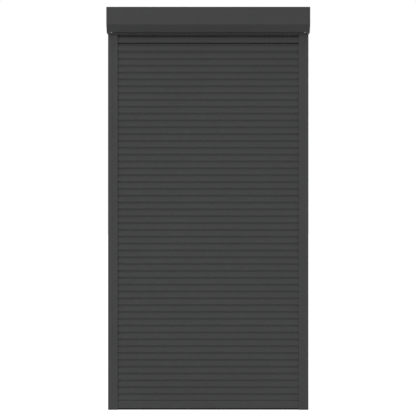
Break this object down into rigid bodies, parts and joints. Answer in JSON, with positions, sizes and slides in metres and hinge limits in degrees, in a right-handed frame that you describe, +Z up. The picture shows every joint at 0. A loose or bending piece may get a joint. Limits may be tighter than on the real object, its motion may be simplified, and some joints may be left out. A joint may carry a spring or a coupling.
{
  "type": "exterior roller shutter",
  "caption": "Exterior roller shutter with a 45 degree box, two guide rails and a slatted curtain that winds onto a strap-driven shaft.",
  "frame": {"origin": "foot of the shutter, at mid width and at mid depth of the box", "axes": "+X to the right seen from outside, +Y to the wall, +Z up"},
  "size_m": [1.1, 0.137, 2.187],
  "materials": {
    "coated_sheet": "satin",
    "coated_casting": "satin",
    "coated_rail": "satin",
    "coated_slat": "satin",
    "coated_bar": "satin",
    "galvanised_tube": "satin",
    "bearing_steel": "polished",
    "screw_steel": "satin",
    "spring_steel": "satin",
    "black_plastic": "matte",
    "seat_plastic": "matte",
    "pulley_plastic": "matte",
    "roller_plastic": "matte",
    "seal_rubber": "matte",
    "rail_seal_rubber": "matte"
  },
  "bodies": {
    "shutter_frame": {"bearing_outer_rings": "bearing_steel", "bearing_seats": "bearing_steel", "box_back_panel": "coated_sheet", "box_bottom_panel": "coated_sheet", "cover_screws": "screw_steel", "end_cap_left": "coated_casting", "end_cap_right": "coated_casting", "front_cover": "coated_sheet", "guide_rail_left": "coated_rail", "guide_rail_right": "coated_rail", "inlet_seal": "seal_rubber", "panel_rivets": "screw_steel", "rail_foot_cap_left": "black_plastic", "rail_foot_cap_right": "black_plastic", "rail_funnel_left": "black_plastic", "rail_funnel_right": "black_plastic", "rail_seal_front_left": "rail_seal_rubber", "rail_seal_front_right": "rail_seal_rubber", "rail_seal_rear_left": "rail_seal_rubber", "rail_seal_rear_right": "rail_seal_rubber", "seat_screws": "screw_steel", "strap_guide_box": "black_plastic"},
    "bottom_bar": {"bottom_bar": "coated_bar", "bottom_seal": "seal_rubber", "bar_end_guides": "black_plastic", "slats_18": "coated_slat"},
    "shaft": {"roller_shaft": "galvanised_tube", "shaft_plugs": "seat_plastic", "bearing_inner_rings": "bearing_steel", "strap_pulley": "pulley_plastic", "curtain_hangers": "spring_steel"},
    "strap_roller_upper": {"strap_roller_upper": "roller_plastic"},
    "strap_roller_lower": {"strap_roller_lower": "roller_plastic"},
    "curtain_01": {"slats_01": "coated_slat"},
    "curtain_02": {"slats_02": "coated_slat"},
    "curtain_03": {"slats_03": "coated_slat"},
    "curtain_04": {"slats_04": "coated_slat"},
    "curtain_05": {"slats_05": "coated_slat"},
    "curtain_06": {"slats_06": "coated_slat"},
    "curtain_07": {"slats_07": "coated_slat"},
    "curtain_08": {"slats_08": "coated_slat"},
    "curtain_09": {"slats_09": "coated_slat"},
    "curtain_10": {"slats_10": "coated_slat"},
    "curtain_11": {"slats_11": "coated_slat"},
    "curtain_12": {"slats_12": "coated_slat"},
    "curtain_13": {"slats_13": "coated_slat"},
    "curtain_14": {"slats_14": "coated_slat"},
    "curtain_15": {"slats_15": "coated_slat"},
    "curtain_16": {"slats_16": "coated_slat"},
    "curtain_17": {"slats_17": "coated_slat"}
  },
  "joints": [
    {"name": "curtain_lift", "type": "slide", "parent": "shutter_frame", "child": "bottom_bar", "axis": [0, 0, 1], "range_m": [0, 2.0017], "deforming": ["slats_01", "slats_02", "slats_03", "slats_04", "slats_05", "slats_06", "slats_07", "slats_08", "slats_09", "slats_10", "slats_11", "slats_12", "slats_13", "slats_14", "slats_15", "slats_16", "slats_17", "curtain_hangers"]},
    {"name": "slat_lift_01", "type": "slide", "parent": "shutter_frame", "child": "curtain_01", "axis": [0, 0, 1], "range_m": [0, 0.09]},
    {"name": "slat_lift_02", "type": "slide", "parent": "shutter_frame", "child": "curtain_02", "axis": [0, 0, 1], "range_m": [0, 0.2065]},
    {"name": "slat_lift_03", "type": "slide", "parent": "shutter_frame", "child": "curtain_03", "axis": [0, 0, 1], "range_m": [0, 0.3187]},
    {"name": "slat_lift_04", "type": "slide", "parent": "shutter_frame", "child": "curtain_04", "axis": [0, 0, 1], "range_m": [0, 0.4309]},
    {"name": "slat_lift_05", "type": "slide", "parent": "shutter_frame", "child": "curtain_05", "axis": [0, 0, 1], "range_m": [0, 0.5431]},
    {"name": "slat_lift_06", "type": "slide", "parent": "shutter_frame", "child": "curtain_06", "axis": [0, 0, 1], "range_m": [0, 0.6553]},
    {"name": "slat_lift_07", "type": "slide", "parent": "shutter_frame", "child": "curtain_07", "axis": [0, 0, 1], "range_m": [0, 0.7675]},
    {"name": "slat_lift_08", "type": "slide", "parent": "shutter_frame", "child": "curtain_08", "axis": [0, 0, 1], "range_m": [0, 0.8797]},
    {"name": "slat_lift_09", "type": "slide", "parent": "shutter_frame", "child": "curtain_09", "axis": [0, 0, 1], "range_m": [0, 0.9919]},
    {"name": "slat_lift_10", "type": "slide", "parent": "shutter_frame", "child": "curtain_10", "axis": [0, 0, 1], "range_m": [0, 1.1041]},
    {"name": "slat_lift_11", "type": "slide", "parent": "shutter_frame", "child": "curtain_11", "axis": [0, 0, 1], "range_m": [0, 1.2163]},
    {"name": "slat_lift_12", "type": "slide", "parent": "shutter_frame", "child": "curtain_12", "axis": [0, 0, 1], "range_m": [0, 1.3285]},
    {"name": "slat_lift_13", "type": "slide", "parent": "shutter_frame", "child": "curtain_13", "axis": [0, 0, 1], "range_m": [0, 1.4407]},
    {"name": "slat_lift_14", "type": "slide", "parent": "shutter_frame", "child": "curtain_14", "axis": [0, 0, 1], "range_m": [0, 1.5529]},
    {"name": "slat_lift_15", "type": "slide", "parent": "shutter_frame", "child": "curtain_15", "axis": [0, 0, 1], "range_m": [0, 1.6651]},
    {"name": "slat_lift_16", "type": "slide", "parent": "shutter_frame", "child": "curtain_16", "axis": [0, 0, 1], "range_m": [0, 1.7773]},
    {"name": "slat_lift_17", "type": "slide", "parent": "shutter_frame", "child": "curtain_17", "axis": [0, 0, 1], "range_m": [0, 1.8895]},
    {"name": "shaft_turn", "type": "hinge", "parent": "shutter_frame", "child": "shaft", "pos_m": [0, 0, 2.1185], "axis": [1, 0, 0], "range_deg": [0, 2520]},
    {"name": "strap_roller_upper_spin", "type": "hinge", "parent": "shutter_frame", "child": "strap_roller_upper", "pos_m": [0.52225, 0.0615, 2.1087], "axis": [1, 0, 0], "continuous": true},
    {"name": "strap_roller_lower_spin", "type": "hinge", "parent": "shutter_frame", "child": "strap_roller_lower", "pos_m": [0.52225, 0.0615, 2.0943], "axis": [1, 0, 0], "continuous": true}
  ],
  "couplings": [
    {"joint": "slat_lift_01", "follows": "curtain_lift", "ratio": 0.044961},
    {"joint": "slat_lift_02", "follows": "curtain_lift", "ratio": 0.10316},
    {"joint": "slat_lift_03", "follows": "curtain_lift", "ratio": 0.15921},
    {"joint": "slat_lift_04", "follows": "curtain_lift", "ratio": 0.21527},
    {"joint": "slat_lift_05", "follows": "curtain_lift", "ratio": 0.27132},
    {"joint": "slat_lift_06", "follows": "curtain_lift", "ratio": 0.32737},
    {"joint": "slat_lift_07", "follows": "curtain_lift", "ratio": 0.38342},
    {"joint": "slat_lift_08", "follows": "curtain_lift", "ratio": 0.43948},
    {"joint": "slat_lift_09", "follows": "curtain_lift", "ratio": 0.49553},
    {"joint": "slat_lift_10", "follows": "curtain_lift", "ratio": 0.55158},
    {"joint": "slat_lift_11", "follows": "curtain_lift", "ratio": 0.60763},
    {"joint": "slat_lift_12", "follows": "curtain_lift", "ratio": 0.66368},
    {"joint": "slat_lift_13", "follows": "curtain_lift", "ratio": 0.71974},
    {"joint": "slat_lift_14", "follows": "curtain_lift", "ratio": 0.77579},
    {"joint": "slat_lift_15", "follows": "curtain_lift", "ratio": 0.83184},
    {"joint": "slat_lift_16", "follows": "curtain_lift", "ratio": 0.88789},
    {"joint": "slat_lift_17", "follows": "curtain_lift", "ratio": 0.94395},
    {"joint": "shaft_turn", "follows": "curtain_lift", "rad_per_m": 21.972}
  ]
}
